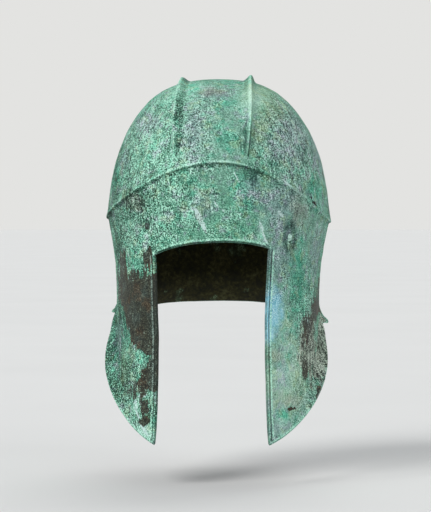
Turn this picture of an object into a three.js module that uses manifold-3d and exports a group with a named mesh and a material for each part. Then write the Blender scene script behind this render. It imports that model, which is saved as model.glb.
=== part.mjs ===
import * as THREE from "three";
import { mergeVertices } from "three/addons/utils/BufferGeometryUtils.js";
import Module from "manifold-3d";

// An open-faced bronze helmet of the archaic Illyrian kind, raised by hammer from a single sheet:
// dome, brow, cheek pieces and neck guard are one piece, with two hollow ridges worked up over the
// crown and one rivet set through the wall at each temple.
// Millimetres, +Z up. The face looks along -Y and the wearer's left side is at +X. The origin is
// on the underside of the crown, where a head or the top of a stand bears.

// Bronze, and the gap kept between pieces that touch
const sheet = 1.8;
const seatGap = 0.3;
const overrun = 4;
const weld = 1e-4;

// Dome, outside. Depths are measured down from the top of the crown.
const domeHalfWidth = 90.6;
const domeFront = 110;
const domeBack = 112;
const domeDepth = 118.3;
const crownFlat = 12;
const domePlanPower = 2.2;
const domeProfilePower = 2.65;

// Step where the dome overhangs the wall. It arches over the forehead, its top a little off centre.
const stepDepthFront = 69.3;
const stepDepthTemple = 114.3;
const stepTopOffset = 6;
const stepArchPower = 1.85;
const stepLean = 1.5;
const lipReach = 1.4;
const lipHeight = 1.3;
const lipFade = 13;

// Wall below the step, drawn in to a waist above the neck
const waistDepth = 170.3;
const waistHalfWidth = 82.2;
const waistFront = 106;
const waistBack = 104;
const waistPlanPower = 2.4;
const wallEasePower = 1.6;

// Face opening, with its raised rim
const openingHalfWidth = 42.7;
const openingSpread = 2.5;
const browDepth = 131.5;
const browCornerDepth = 138.9;
const browTilt = 2.6;
const rimWidth = 2.6;
const rimSlope = 1;
const rimRaise = 0.6;

// Lower edge: neck guard, ear corners and the points of the cheek pieces
const neckDepth = 183.7;
const earDepthLeft = 197.8;
const earDepthRight = 189.8;
const earForward = 2;
const tipDepth = 289.8;
const cheekCurvePower = 0.67;
const neckFlare = 12;
const earFlareLeft = 7.5;
const earFlareRight = 6;
const cheekFlareLeft = 10.8;
const cheekFlareRight = 13;
const cheekFlarePeakShare = 0.36;
const tipFlare = 0.8;
const neckFlareWidth = 26;
const cheekFlareWidth = 15;

// Crest ridges. Their crests stand upright on the crown and lean outwards on the way down to the
// front and back. The ridge at the wearer's left runs a little further to the left as it comes forward.
const ridgeOffsetLeft = 25.5;
const ridgeOffsetRight = 27.9;
const ridgeDriftLeft = 1.4;
const ridgeDriftRight = 0;
const ridgeHeightLeft = 5.8;
const ridgeHeightRight = 4.7;
const ridgeHalfWidth = 5.8;
const ridgeLean = 1.8;
const ridgeLeanPower = 3;
const ridgeFrontDepth = 67.2;
const ridgeBackDepth = 111.3;
const ridgeSink = 0.9;
const ridgeEndShare = 0.5;
const ridgeSwellPower = 4;
const ridgeFlankShares = [
  [1, 0],
  [0.58, 0.32],
  [0.18, 0.88],
  [0, 1],
];

// Temple rivets. Heights are how far the worn heads still stand up.
const rivetHeadRadius = 3.1;
const rivetHeadHeightLeft = 1.5;
const rivetHeadHeightRight = 0.8;
const rivetShankRadius = 1.5;
const rivetTailRadius = 2.4;
const rivetTailHeight = 0.8;
const rivetBrimShare = 0.2;
const rivetTailShare = 0.8;
const rivetLeft = { across: 61, depth: 128.3 };
const rivetRight = { across: 51.5, depth: 119.3 };

// Fineness of the mesh
const ringShares = [0.14, 0.24, 0.34, 0.44, 0.54, 0.64, 0.73, 0.81, 0.88, 0.94, 1];
const cheekShares = [0.94, 0.87, 0.79, 0.69, 0.57, 0.45, 0.34, 0.23, 0.14, 0.07, 0.02, 0];
const lowerRowShares = [0.1, 0.22, 0.35, 0.48, 0.6, 0.71, 0.81, 0.89, 0.95, 1];
const browColumns = 12;
const neckColumns = 10;
const wallRows = 5;
const ridgeSteps = 22;
const borderSteps = 60;
const rivetSides = 16;
const headRings = 3;
const borderCrowding = 1.5;
const halvings = 40;
const angleStep = 0.01;
const slopeSteps = 20;

const quarterTurn = Math.PI / 2;
const up = new THREE.Vector3(0, 1, 0);
const signedPower = (value, power) => Math.sign(value) * Math.abs(value) ** power;
const mix = THREE.MathUtils.lerp;
const share = (value, low, high) => THREE.MathUtils.clamp((value - low) / (high - low), 0, 1);
const smooth = (s) => s * s * (3 - 2 * s);

// A point of a rounded plan outline. Angle 0 is the front and a quarter turn is the wearer's left.
function planPoint(angle, halfWidth, front, back, power) {
  const reach = Math.cos(angle) > 0 ? front : back;
  return new THREE.Vector2(
    halfWidth * signedPower(Math.sin(angle), 2 / power),
    -reach * signedPower(Math.cos(angle), 2 / power),
  );
}

// How far below the crown the dome ends, all the way round
function stepDepth(angle) {
  const across = Math.sin(angle);
  const lean = stepLean * across ** 3;
  if (Math.cos(angle) < 0) return mix(domeDepth, stepDepthTemple, across ** 2) + lean;
  const topAt = stepTopOffset / domeHalfWidth;
  const fall = Math.abs(across - topAt) / (across > topAt ? 1 - topAt : 1 + topAt);
  return mix(stepDepthFront, stepDepthTemple, fall ** stepArchPower) + lean;
}

// The dome at a share of the way out from the crown's axis
function domePoint(angle, outShare) {
  const lift = Math.sqrt(Math.max(0, 1 - outShare ** domeProfilePower));
  const plan = planPoint(angle, domeHalfWidth, domeFront, domeBack, domePlanPower);
  plan.multiplyScalar(outShare);
  return new THREE.Vector3(plan.x, plan.y, sheet - domeDepth * (1 - lift));
}

// How far out, as a share, the dome is at a depth
function domeShareAt(depth) {
  const lift = Math.max(0, 1 - depth / domeDepth);
  return (1 - lift * lift) ** (1 / domeProfilePower);
}

// The wall below the step, without the flare of its lower edge
function wallPoint(angle, depth) {
  const top = stepDepth(angle);
  const rim = domePoint(angle, domeShareAt(top));
  const waist = planPoint(angle, waistHalfWidth, waistFront, waistBack, waistPlanPower);
  const ease = 1 - (1 - share(depth, top, waistDepth)) ** wallEasePower;
  return new THREE.Vector3(mix(rim.x, waist.x, ease), mix(rim.y, waist.y, ease), sheet - depth);
}

// Half the width of the face opening at a depth
function openingHalf(depth) {
  const down = share(depth, browCornerDepth, tipDepth);
  return openingHalfWidth + openingSpread * (2 * down - 1) ** 2;
}

// The plan angle at which the wall reaches a distance across, found by halving
function angleAcross(across, depth) {
  let low = 0;
  let high = quarterTurn;
  for (let turn = 0; turn < halvings; turn++) {
    const middle = (low + high) / 2;
    if (wallPoint(middle, depth).x < across) low = middle;
    else high = middle;
  }
  return (low + high) / 2;
}

const openingAngle = (depth) => angleAcross(openingHalf(depth), depth);
const cornerAngle = openingAngle(browCornerDepth);
const waistReach = (angle) =>
  -planPoint(angle, waistHalfWidth, waistFront, waistBack, waistPlanPower).y;
const waistAngle = (forward) => Math.acos((forward / waistFront) ** (waistPlanPower / 2));
const tipForward = waistReach(openingAngle(tipDepth));
const earAngle = waistAngle(earForward);

// How far below the crown the lower edge lies. Side is 1 on the wearer's left and -1 on the right.
function borderDepth(angle, side) {
  const earDepth = side > 0 ? earDepthLeft : earDepthRight;
  if (angle > earAngle) {
    return mix(earDepth, neckDepth, smooth(share(angle, earAngle, Math.PI)));
  }
  const forward = share(waistReach(angle), earForward, tipForward);
  return mix(earDepth, tipDepth, forward ** cheekCurvePower);
}

// The lower edge laid out flat: distance round the waist against depth
function layBorder(side) {
  const line = [];
  let run = 0;
  let last = wallPoint(cornerAngle, waistDepth);
  for (let step = 0; step <= borderSteps; step++) {
    const angle = mix(cornerAngle, Math.PI, (step / borderSteps) ** borderCrowding);
    const here = wallPoint(angle, waistDepth);
    run += here.distanceTo(last);
    last = here;
    line.push({ angle, run, depth: borderDepth(angle, side) });
  }
  return line;
}

const borderLines = { 1: layBorder(1), "-1": layBorder(-1) };

// Distance round the waist from the front edge to a plan angle
function runAt(angle, side) {
  const line = borderLines[side];
  const next = Math.max(1, line.findIndex((mark) => mark.angle >= angle));
  const before = line[next - 1];
  const after = line[next];
  return mix(before.run, after.run, share(angle, before.angle, after.angle));
}

// The nearest point of the lower edge: its distance, and the angle it lies at
function nearestBorder(angle, depth, side) {
  const here = new THREE.Vector3(runAt(angle, side), depth, 0);
  const line = borderLines[side];
  const spot = new THREE.Vector3();
  const stretch = new THREE.Line3();
  let nearest = { distance: Infinity, angle };
  for (let step = 1; step < line.length; step++) {
    stretch.start.set(line[step - 1].run, line[step - 1].depth, 0);
    stretch.end.set(line[step].run, line[step].depth, 0);
    const along = stretch.closestPointToPointParameter(here, true);
    const distance = stretch.at(along, spot).distanceTo(here);
    if (distance < nearest.distance) {
      nearest = { distance, angle: mix(line[step - 1].angle, line[step].angle, along) };
    }
  }
  return nearest;
}

// How far the lower edge turns outwards near a point of the wall
function flareAt(angle, depth, side) {
  const edge = nearestBorder(angle, depth, side);
  const earFlare = side > 0 ? earFlareLeft : earFlareRight;
  const cheekFlare = side > 0 ? cheekFlareLeft : cheekFlareRight;
  const back = smooth(share(edge.angle, earAngle, Math.PI));
  const down = share(borderDepth(edge.angle, side), borderDepth(earAngle, side), tipDepth);
  let full = mix(earFlare, neckFlare, back);
  if (edge.angle < earAngle) {
    const rise = smooth(share(down, 0, cheekFlarePeakShare));
    const fall = smooth(share(down, cheekFlarePeakShare, 1));
    full = mix(mix(earFlare, cheekFlare, rise), tipFlare, fall);
  }
  const width = mix(cheekFlareWidth, neckFlareWidth, back);
  return full * (1 - share(edge.distance, 0, width)) ** 2;
}

// A point on the wall, with the flare, for a plan angle from 0 to half a turn on either side
function shellPoint(angle, depth, side) {
  const point = wallPoint(side * angle, depth);
  const reach = flareAt(Math.max(angle, cornerAngle), depth, side);
  const ahead = wallPoint(side * angle + angleStep, depth);
  const outward = new THREE.Vector3(ahead.y - point.y, point.x - ahead.x, 0).normalize();
  return point.addScaledVector(outward, reach);
}

// How far the top of the opening is raised on the wearer's left, for shares of the way to the corner
// and from there to the back. On the right it is lowered as much.
function browRise(side, across, outShare) {
  return side * browTilt * across * (1 - outShare);
}

// How far the rim of the face opening stands up at a distance across and a depth
function rimAt(across, depth) {
  const beside = Math.max(0, Math.abs(across) - openingHalf(depth));
  const part = share(Math.abs(across), 0, openingHalfWidth);
  const curve = mix(browDepth, browCornerDepth, part ** 2) - browRise(Math.sign(across), part, 0);
  const above = Math.max(0, curve - depth);
  return rimRaise * (1 - share(Math.hypot(beside, above), rimWidth, rimWidth + rimSlope));
}

// An open surface of four-sided and three-sided faces, which close() thickens inwards
class OpenSheet {
  points = [];
  reliefs = [];
  faces = [];

  add(point, relief = 0) {
    this.points.push(point);
    this.reliefs.push(relief);
    return this.points.length - 1;
  }

  // Faces between two rows of points, read from outside with the first row above
  joinRows(upper, lower) {
    for (let i = 0; i + 1 < upper.length; i++) {
      this.faces.push([upper[i], lower[i], lower[i + 1]], [upper[i], lower[i + 1], upper[i + 1]]);
    }
  }

  normals() {
    const found = this.points.map(() => new THREE.Vector3());
    const turn = new THREE.Triangle();
    const normal = new THREE.Vector3();
    for (const face of this.faces) {
      turn.set(...face.map((i) => this.points[i]));
      turn.getNormal(normal);
      for (const i of face) found[i].addScaledVector(normal, turn.getArea());
    }
    return found.map((n) => n.normalize());
  }

  // The closed solid: outer face with its relief, inner face, and walls along the open edges
  close(thickness) {
    const count = this.points.length;
    const normals = this.normals();
    const outer = this.points.map((p, i) => p.clone().addScaledVector(normals[i], this.reliefs[i]));
    const inner = this.points.map((p, i) => p.clone().addScaledVector(normals[i], -thickness));
    const used = new Set();
    for (const [a, b, c] of this.faces) for (const edge of [[a, b], [b, c], [c, a]]) used.add(edge.join());
    const triangles = [];
    for (const [a, b, c] of this.faces) {
      triangles.push([a, b, c], [a + count, c + count, b + count]);
      for (const [from, to] of [[a, b], [b, c], [c, a]]) {
        if (used.has(`${to},${from}`)) continue;
        triangles.push([to, from, from + count], [to, from + count, to + count]);
      }
    }
    return solidGeometry([...outer, ...inner], triangles);
  }
}

function solidGeometry(points, triangles) {
  const geometry = new THREE.BufferGeometry().setFromPoints(points);
  geometry.setIndex(triangles.flat());
  return geometry;
}

// Plan angles of the columns on one side, from the edge of the opening to the middle of the back
function sideAngles() {
  const perAngle = wallPoint(cornerAngle, browCornerDepth)
    .distanceTo(wallPoint(cornerAngle + angleStep, browCornerDepth)) / angleStep;
  const angles = [0, rimWidth, rimWidth + rimSlope].map((run) => cornerAngle + run / perAngle);
  for (const along of cheekShares) angles.push(waistAngle(mix(earForward, tipForward, along)));
  for (let k = 1; k <= neckColumns; k++) angles.push(mix(earAngle, Math.PI, k / neckColumns));
  return angles;
}

// One row of the dome, at a share of the way from the crown to the step
function domeRow(sheetPoints, columns, along) {
  return columns.map(({ angle, side }) => {
    const turned = side * angle;
    const edge = Math.acos(Math.max(0, 1 - stepDepth(turned) / domeDepth));
    const point = domePoint(turned, Math.sin(edge * along) ** (2 / domeProfilePower));
    const above = point.distanceTo(domePoint(turned, domeShareAt(stepDepth(turned))));
    return sheetPoints.add(point, lipReach * (1 - share(above, 0, lipFade)) ** 2);
  });
}

// One row of the wall between the step and the level of the brow. The first row lies under the lip.
function upperWallRow(sheetPoints, columns, row) {
  return columns.map(({ angle, side }) => {
    const top = stepDepth(side * angle) + lipHeight;
    const across = share(angle, 0, cornerAngle);
    const outShare = share(angle, cornerAngle, Math.PI);
    const bottom = mix(browDepth, browCornerDepth, across ** 2) - browRise(side, across, outShare);
    const rimTop = bottom - rimWidth - rimSlope;
    const depths = [];
    for (let k = 0; k <= wallRows; k++) depths.push(mix(top, rimTop, k / wallRows));
    depths.push(bottom - rimWidth, bottom);
    const point = shellPoint(angle, depths[row], side);
    return sheetPoints.add(point, rimAt(point.x, depths[row]));
  });
}

// One row of the cheek pieces and neck guard, at a share of the way down to the lower edge
function lowerRow(sheetPoints, columns, down) {
  return columns.map(({ angle, side }) => {
    const outShare = share(angle, cornerAngle, Math.PI);
    const top = browCornerDepth - browRise(side, 1, outShare);
    const depth = mix(top, borderDepth(Math.max(angle, cornerAngle), side), down);
    const point = shellPoint(mix(openingAngle(depth), Math.PI, outShare), depth, side);
    return sheetPoints.add(point, rimAt(point.x, depth));
  });
}

// The hammered sheet, before its ridges are raised and its rivet holes are punched
function hammeredSheet() {
  const surface = new OpenSheet();
  const angles = sideAngles();
  const left = angles.map((angle) => ({ angle, side: 1 }));
  const right = angles.slice(0, -1).reverse().map((angle) => ({ angle, side: -1 }));
  const brow = [];
  for (let k = 1; k < browColumns; k++) {
    const turned = cornerAngle * ((2 * k) / browColumns - 1);
    brow.push({ angle: Math.abs(turned), side: turned < 0 ? -1 : 1 });
  }
  const columns = [...left, ...right, ...brow];

  const rings = [];
  rings.push(columns.map(({ angle, side }) => {
    const flat = planPoint(side * angle, crownFlat, crownFlat, crownFlat, domePlanPower);
    return surface.add(new THREE.Vector3(flat.x, flat.y, sheet));
  }));
  for (const along of ringShares) rings.push(domeRow(surface, columns, along));
  for (let row = 0; row <= wallRows + 2; row++) rings.push(upperWallRow(surface, columns, row));
  const crown = surface.add(new THREE.Vector3(0, 0, sheet));
  const closed = (ring) => [...ring, ring[0]];
  surface.joinRows(closed(rings[0]).map(() => crown), closed(rings[0]));
  surface.faces = surface.faces.filter(([a, b, c]) => a !== b && b !== c && c !== a);
  for (let k = 1; k < rings.length; k++) surface.joinRows(closed(rings[k - 1]), closed(rings[k]));

  const sides = [...left, ...right];
  let above = rings.at(-1).slice(0, sides.length);
  for (const down of lowerRowShares) {
    const row = lowerRow(surface, sides, down);
    surface.joinRows(above, row);
    above = row;
  }
  return surface.close(sheet);
}

// The dome's surface above a point of the plan, and its outward normal
function domeOver(across, along) {
  const reach = along < 0 ? domeFront : domeBack;
  const outside = (x, y) =>
    (Math.abs(x / domeHalfWidth) ** domePlanPower + Math.abs(y / reach) ** domePlanPower) **
    (1 / domePlanPower);
  const height = (x, y) => {
    const lift = Math.sqrt(Math.max(0, 1 - Math.min(1, outside(x, y)) ** domeProfilePower));
    return sheet - domeDepth * (1 - lift);
  };
  const nudge = sheet / slopeSteps;
  const slopeX = (height(across + nudge, along) - height(across - nudge, along)) / (2 * nudge);
  const slopeY = (height(across, along + nudge) - height(across, along - nudge)) / (2 * nudge);
  return {
    point: new THREE.Vector3(across, along, height(across, along)),
    normal: new THREE.Vector3(-slopeX, -slopeY, 1).normalize(),
  };
}

// How far to the front or back the dome reaches at a distance across and a depth
function domeReach(across, depth, reach) {
  const outer = domeShareAt(depth) ** domePlanPower;
  const inner = Math.abs(across / domeHalfWidth) ** domePlanPower;
  return reach * Math.max(0, outer - inner) ** (1 / domePlanPower);
}

// A ridge, or the hollow inside it, as a loft of peaked sections over the dome
function ridgeLoft(side, { narrow, lower, sink, shorten }) {
  const height = side > 0 ? ridgeHeightLeft : ridgeHeightRight;
  const offset = side > 0 ? ridgeOffsetLeft : -ridgeOffsetRight;
  const drift = side > 0 ? ridgeDriftLeft : ridgeDriftRight;
  const front = domeReach(offset + drift, ridgeFrontDepth, domeFront) - shorten;
  const back = domeReach(offset - drift, ridgeBackDepth, domeBack) - shorten;
  const points = [];
  const triangles = [];
  const ringSize = ridgeFlankShares.length * 2 - 1;
  for (let step = 0; step <= ridgeSteps; step++) {
    const turn = Math.PI * (step / ridgeSteps) - quarterTurn;
    const along = Math.sin(turn) * (turn < 0 ? front : back);
    const { point, normal } = domeOver(offset - drift * Math.sin(turn), along);
    const swell = mix(ridgeEndShare, 1, Math.sqrt(1 - Math.sin(turn) ** ridgeSwellPower));
    const tall = step % ridgeSteps === 0 ? 0 : height * swell;
    const out = new THREE.Vector3(0, normal.z, -normal.y).cross(normal).normalize();
    const lean = side * ridgeLean * Math.sin(Math.PI * Math.abs(Math.sin(turn)) ** ridgeLeanPower);
    const foot = ridgeHalfWidth * swell - narrow;
    const heights = ridgeFlankShares.map(([wide, up]) => [wide, up * tall - lower]);
    heights[0][1] = -sink;
    const flank = (reach) => heights.map(([wide, up]) => [mix(lean, reach, wide), up]);
    const section = [...flank(foot), ...flank(-foot).slice(0, -1).reverse()];
    for (const [wide, up] of section) {
      points.push(point.clone().addScaledVector(out, wide).addScaledVector(normal, up));
    }
  }
  for (let step = 0; step < ridgeSteps; step++) {
    for (let k = 0; k < ringSize; k++) {
      const a = step * ringSize + k;
      const b = step * ringSize + ((k + 1) % ringSize);
      triangles.push([a, a + ringSize, b], [b, a + ringSize, b + ringSize]);
    }
  }
  const last = ridgeSteps * ringSize;
  for (let k = 1; k + 1 < ringSize; k++) {
    triangles.push([0, k, k + 1], [last, last + k + 1, last + k]);
  }
  return solidGeometry(points, triangles);
}

// Where a rivet goes through the hammered sheet: its place, its direction and the metal it grips
function rivetSeat(hammered, { across, depth }, side) {
  const angle = side * angleAcross(across, depth);
  const point = wallPoint(angle, depth);
  const beside = wallPoint(angle + side * angleStep, depth).sub(point);
  const below = wallPoint(angle, depth + sheet).sub(point);
  const outward = below.cross(beside).multiplyScalar(side).normalize();
  const start = point.clone().addScaledVector(outward, overrun);
  const ray = new THREE.Raycaster(start, outward.clone().negate(), 0, 3 * overrun);
  const wall = new THREE.Mesh(hammered, new THREE.MeshBasicMaterial({ side: THREE.DoubleSide }));
  const hits = ray.intersectObject(wall);
  return { point: hits[0].point, outward, grip: hits.at(-1).distance - hits[0].distance };
}

// A rivet along +Y: rounded head outside, shank through the wall, hammered tail inside
function rivetGeometry(headHeight, grip) {
  const tail = -grip - seatGap;
  const profile = [
    new THREE.Vector2(0, tail - rivetTailHeight),
    new THREE.Vector2(rivetTailRadius * rivetTailShare, tail - rivetTailHeight),
    new THREE.Vector2(rivetTailRadius, tail),
    new THREE.Vector2(rivetShankRadius, tail),
    new THREE.Vector2(rivetShankRadius, seatGap),
    new THREE.Vector2(rivetHeadRadius, seatGap),
  ];
  for (let ring = headRings; ring >= 0; ring--) {
    const turn = quarterTurn * (ring / headRings);
    const rise = rivetBrimShare + (1 - rivetBrimShare) * Math.cos(turn);
    profile.push(new THREE.Vector2(rivetHeadRadius * Math.sin(turn), seatGap + headHeight * rise));
  }
  return new THREE.LatheGeometry(profile, rivetSides);
}

const wasm = await Module();
wasm.setup();

// A closed geometry as a manifold-3d solid, turned the right way out
function toSolid(geometry) {
  const bare = new THREE.BufferGeometry().setAttribute("position", geometry.getAttribute("position"));
  if (geometry.index) bare.setIndex(geometry.index);
  const merged = mergeVertices(bare, weld);
  return new wasm.Manifold(new wasm.Mesh({
    numProp: 3,
    vertProperties: new Float32Array(merged.attributes.position.array),
    triVerts: new Uint32Array(merged.index.array),
  }));
}

function toGeometry(solid) {
  const mesh = solid.getMesh();
  const geometry = new THREE.BufferGeometry();
  geometry.setAttribute("position", new THREE.BufferAttribute(new Float32Array(mesh.vertProperties), 3));
  geometry.setIndex(new THREE.BufferAttribute(new Uint32Array(mesh.triVerts), 1));
  geometry.computeVertexNormals();
  return geometry;
}

function helmetShell(hammered, seats) {
  const ridge = { narrow: 0, lower: 0, sink: ridgeSink, shorten: 0 };
  const hollow = { narrow: sheet, lower: sheet, sink: sheet + overrun, shorten: sheet };
  let shell = toSolid(hammered);
  for (const side of [1, -1]) {
    shell = shell.add(toSolid(ridgeLoft(side, ridge)));
  }
  for (const side of [1, -1]) {
    shell = shell.subtract(toSolid(ridgeLoft(side, hollow)));
  }
  for (const { point, outward } of seats) {
    const hole = rivetShankRadius + seatGap;
    const punch = new THREE.CylinderGeometry(hole, hole, 2 * (sheet + overrun), rivetSides);
    punch.applyQuaternion(new THREE.Quaternion().setFromUnitVectors(up, outward));
    punch.translate(point.x, point.y, point.z);
    shell = shell.subtract(toSolid(punch));
  }
  return toGeometry(shell);
}

const bronze = (colour, roughness) =>
  new THREE.MeshStandardMaterial({ color: colour, roughness, metalness: 0.1 });
const patina = bronze(0x6fa68f, 0.85);
const paleHead = bronze(0x8fbfa5, 0.8);
const darkHead = bronze(0x3d4a44, 0.85);

const helmet = new THREE.Group();

function addPiece(name, geometry, material) {
  const piece = new THREE.Mesh(geometry, material);
  piece.name = name;
  helmet.add(piece);
  return piece;
}

function addRivet(name, { point, outward, grip }, headHeight, material) {
  const rivet = addPiece(name, rivetGeometry(headHeight, grip), material);
  rivet.position.copy(point);
  rivet.quaternion.setFromUnitVectors(up, outward);
}

const hammered = hammeredSheet();
const leftSeat = rivetSeat(hammered, rivetLeft, 1);
const rightSeat = rivetSeat(hammered, rivetRight, -1);

addPiece("helmet_shell", helmetShell(hammered, [leftSeat, rightSeat]), patina);
addRivet("temple_rivet_left", leftSeat, rivetHeadHeightLeft, paleHead);
addRivet("temple_rivet_right", rightSeat, rivetHeadHeightRight, darkHead);

export default helmet;
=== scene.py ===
import math

import bpy
import numpy as np
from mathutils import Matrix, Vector, noise


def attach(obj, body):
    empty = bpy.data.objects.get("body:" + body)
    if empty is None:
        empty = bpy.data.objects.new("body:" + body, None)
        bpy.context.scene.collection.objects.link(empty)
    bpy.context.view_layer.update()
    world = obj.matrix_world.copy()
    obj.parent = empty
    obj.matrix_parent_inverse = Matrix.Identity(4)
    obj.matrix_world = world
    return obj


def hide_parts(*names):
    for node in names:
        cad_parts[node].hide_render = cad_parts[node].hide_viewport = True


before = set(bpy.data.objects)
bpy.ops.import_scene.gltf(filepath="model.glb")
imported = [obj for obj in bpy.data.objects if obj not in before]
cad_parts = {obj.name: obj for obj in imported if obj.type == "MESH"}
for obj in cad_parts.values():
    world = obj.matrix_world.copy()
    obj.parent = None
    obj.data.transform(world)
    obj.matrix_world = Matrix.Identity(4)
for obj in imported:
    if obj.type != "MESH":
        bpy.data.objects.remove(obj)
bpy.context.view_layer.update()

# Open-faced bronze helmet with two crest ridges and a rivet at each temple, under green patina

# Shapes are drawn in millimetres, with the face towards -Y and the wearer's left side at +X
MM = 0.001

# Thickness of the bronze
SHEET = 1.8

# Dome, outside. Depths are measured down from the top of the crown.
DOME_HALF_WIDTH = 90.6
DOME_FRONT = 110
DOME_BACK = 112
DOME_DEPTH = 118.3
DOME_PLAN_POWER = 2.2
DOME_PROFILE_POWER = 2.65

# Step where the dome overhangs the wall
STEP_DEPTH_FRONT = 69.3
STEP_DEPTH_TEMPLE = 114.3
STEP_TOP_OFFSET = 6
STEP_ARCH_POWER = 1.85
STEP_LEAN = 1.5
LIP_REACH = 1.4
LIP_HEIGHT = 1.5
LIP_FADE = 13
LIP_ROLL_SHARES = [(0.35, 0.97), (0.7, 0.65), (1.0, 0.15)]
LIP_FOOT = 0.9
# Painted highlight along the lip and painted shade under it, weaker on the wearer's left of the forehead
LIP_HIGHLIGHT_WIDTH = 1.6
LIP_BLURRED_FROM = 5
LIP_BLURRED_TO = 55
LIP_CRISP_FROM = -30
LIP_CRISP_TO = 5
LIP_BLUR = 0.75
LIP_SHADOW_HEIGHT = 2.5
LIP_SHADOW_DARK = 0.8

# Wall below the step, drawn in to a waist above the neck
WAIST_DEPTH = 170.3
WAIST_HALF_WIDTH = 82.2
WAIST_FRONT = 106
WAIST_BACK = 104
WAIST_PLAN_POWER = 2.4
WALL_EASE_POWER = 1.6

# Face opening
OPENING_HALF_WIDTH = 42.7
OPENING_SPREAD = 2.5
BROW_DEPTH = 131.5
BROW_CORNER_DEPTH = 138.9
BROW_TILT = 2.6

# Its raised rim and the groove beside it, as (distance from the edge, height)
RIM_PROFILE = [(0, 0.25), (0.7, 0.5), (1.5, 0.4), (2.1, -0.25), (2.8, 0.15), (3.5, 0.25), (4.8, 0)]

# Painted highlights and shadows beside the edge, on the rim, in its groove and on the edge's thickness, as
# (distance from it, from -1 for painted shadow to 1 for painted highlight)
RIM_PAINTED_LIGHT = [
    (0, -0.6), (0.6, -0.1), (1.1, 0.2), (1.5, -0.5), (1.9, -1), (2.3, -0.7), (2.8, 0.8), (3.3, 1),
    (3.9, 0.3), (4.8, 0),
]
BROW_PAINTED_LIGHT = [(0, -0.8), (0.6, -0.5), (1.0, 0.4), (1.5, 1), (2.4, 0.9), (3.0, 0.1), (3.8, 0)]
BORDER_PAINTED_LIGHT = [(0, -0.5), (0.6, 0.6), (1.2, 1), (2.0, 0), (2.8, -0.3), (3.8, 0)]
RIM_FADE_SHARE = 0.7

# Distances from the edge at which the mesh has rows
RIM_COLUMNS = [0, 0.4, 0.8, 1.2, 1.6, 2.0, 2.4, 2.8, 3.4, 4.0, 4.8, 6.0]
BORDER_ROWS = [4.2, 3.4, 2.7, 2.0, 1.3, 0.6, 0]

# Lower edge: neck guard, ear corners and the points of the cheek pieces
NECK_DEPTH = 183.7
EAR_DEPTH_LEFT = 197.8
EAR_DEPTH_RIGHT = 189.8
EAR_FORWARD = 2
TIP_DEPTH = 289.8
CHEEK_CURVE_POWER = 0.67
NECK_FLARE = 12
EAR_FLARE_LEFT = 7.5
EAR_FLARE_RIGHT = 6
CHEEK_FLARE_LEFT = 10.8
CHEEK_FLARE_RIGHT = 13
CHEEK_FLARE_PEAK_SHARE = 0.36
TIP_FLARE = 0.8
NECK_FLARE_WIDTH = 26
CHEEK_FLARE_WIDTH = 15
BORDER_PROFILE = [(0, 0.3), (1.2, 0.4), (2.0, 0.1), (2.8, -0.15), (3.8, 0)]

# Crest ridges
RIDGE_OFFSET_LEFT = 25.5
RIDGE_OFFSET_RIGHT = -27.9
RIDGE_HEIGHT_LEFT = 5.8
RIDGE_HEIGHT_RIGHT = 4.7
RIDGE_HALF_WIDTH = 5.8

# How far each ridge runs outwards as it comes forward
RIDGE_DRIFT_LEFT = 1.4
RIDGE_DRIFT_RIGHT = 0

# The crests are upright on the crown and lean outwards on the way down
RIDGE_LEAN = 1.8
RIDGE_LEAN_POWER = 3

# Ends of the ridges
RIDGE_FRONT_DEPTH = 67.2
RIDGE_BACK_DEPTH = 111.3
RIDGE_END_SHARE = 0.5
RIDGE_SWELL_POWER = 4
RIDGE_NOSE = 2

# Heights across a ridge, as (share of its half width, share of its height), and the mesh's columns
RIDGE_PROFILE_SHARES = [
    (0, 1), (0.07, 0.98), (0.16, 0.9), (0.28, 0.73), (0.42, 0.5), (0.58, 0.27), (0.78, 0.08), (1, 0),
]
RIDGE_SIDE_SHARES = [across for across, _ in RIDGE_PROFILE_SHARES]
RIDGE_COLUMN_SHARES = [-across for across in RIDGE_SIDE_SHARES[:0:-1]] + RIDGE_SIDE_SHARES

# Painted shade and highlight across a ridge, as (share of its half width, darkness, below 0 for a painted
# highlight)
RIDGE_PAINTED_SHADE_RIGHT = [
    (-1, 0), (-0.75, -0.5), (-0.45, 0.3), (-0.16, -0.7), (0, -0.6), (0.1, 0.6), (0.5, 1.1), (0.8, 1),
    (1, 0.1),
]
RIDGE_PAINTED_SHADE_LEFT = [
    (-1, 0.4), (-0.8, 0.1), (-0.5, 0.6), (-0.2, 0.3), (0, -0.4), (0.1, 0.5), (0.3, 0.9), (0.6, 0.3),
    (1, 0),
]

# Hollow under each ridge, inside
RIDGE_HOLLOW_NARROW = 0.45
RIDGE_HOLLOW_SHARE = 0.75

# Temple rivets, and the worn recess round each
RIVET_SHANK_RADIUS = 1.5
RIVET_TAIL_RADIUS = 2.4
RIVET_TAIL_HEIGHT = 0.8
RIVET_SINK = 0.45
RIVET_SIDES = 24
RIVET_HEAD_PROFILE = [(0.02, 1), (0.35, 0.94), (0.62, 0.76), (0.82, 0.48), (0.95, 0.16)]
RIVET_HEAD_UNDERSIDE = [(1.0, 0.1), (0.98, 0.5), (0.6, 0.8)]
RIVET_TAIL_SHOULDER = 0.6
RIVET_END_RADIUS = 0.02
RIVET_RIM_SHARE = 0.9
RIVET_WANDER = 0.15
RECESS_DEPTH = 0.6
RECESS_FLAT_SHARE = 0.35
RECESS_DARK = 0.6
RECESS_RING_DARK = 3

# Unevenness left by the hammer and by the crust: (wavelength, depth)
HAMMER_WAVES = [(36, 0.75), (14, 0.34)]
CRUST_WAVES = [(5.2, 0.13), (2.6, 0.07)]
RIVET_WAVES = [(1.6, 0.22), (0.8, 0.08)]
INNER_CRUST_SHARE = 0.5
WAVE_SHIFT = (17.3, 31.7, 5.1)
HAMMER_SEED = 1
CRUST_SEED = 2
INNER_CRUST_SEED = 3
RIVET_SEED = 7

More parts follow.
